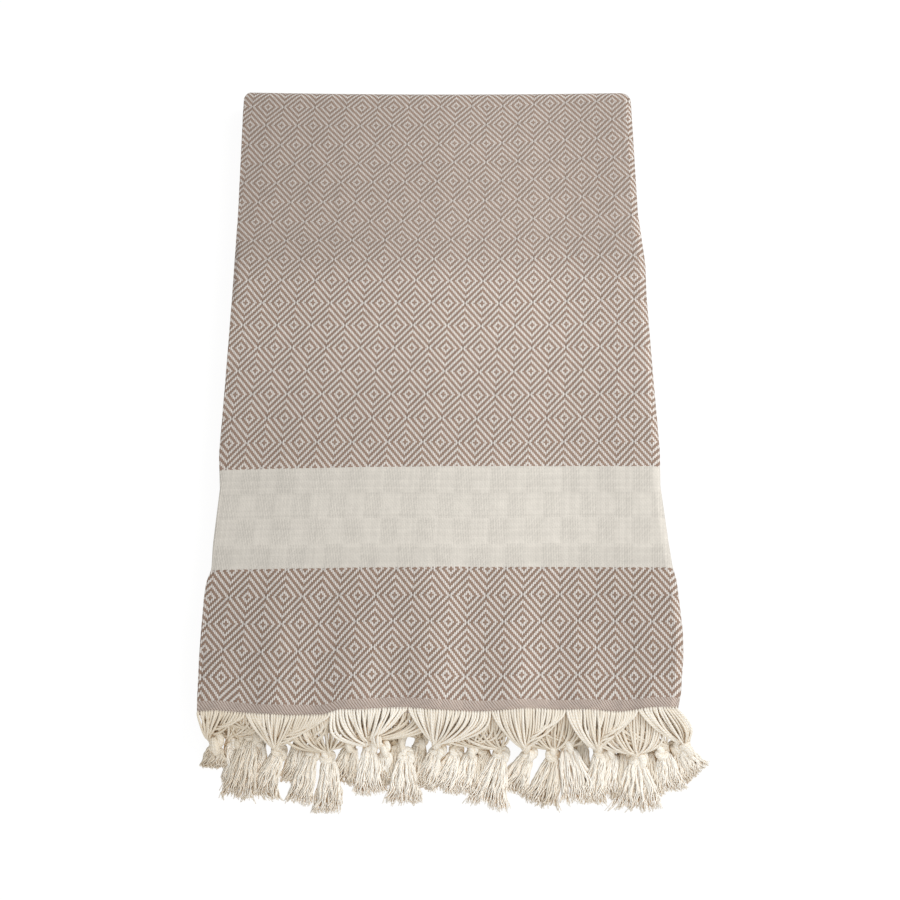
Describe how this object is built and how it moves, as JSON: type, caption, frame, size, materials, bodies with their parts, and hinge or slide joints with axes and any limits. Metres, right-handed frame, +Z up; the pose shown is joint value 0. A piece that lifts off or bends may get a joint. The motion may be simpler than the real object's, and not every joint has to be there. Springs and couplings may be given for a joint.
{
  "type": "hammam towel",
  "caption": "Flat-woven hammam towel folded into a long flat pile, with a diamond weave, a pale cross band and a knotted fringe at the front edge.",
  "frame": {"origin": "middle of the footprint, on the surface that the folded towel lies on", "axes": "+Z up, -Y towards the hanging fringe, +Y towards the rear fold, +X towards the broad side fold, which is on the right seen from the fringe end"},
  "size_m": [0.2585, 0.4896, 0.0225],
  "materials": {
    "woven_cotton": "matte diamond-twill cotton in taupe and cream, with a plain cream band near the hem",
    "fringe_cotton": "matte unbleached cotton warp yarn, twisted and knotted"
  },
  "bodies": {
    "root": {"towel": "woven_cotton", "fringe_front": "fringe_cotton", "fringe_inner": "fringe_cotton"}
  },
  "joints": []
}
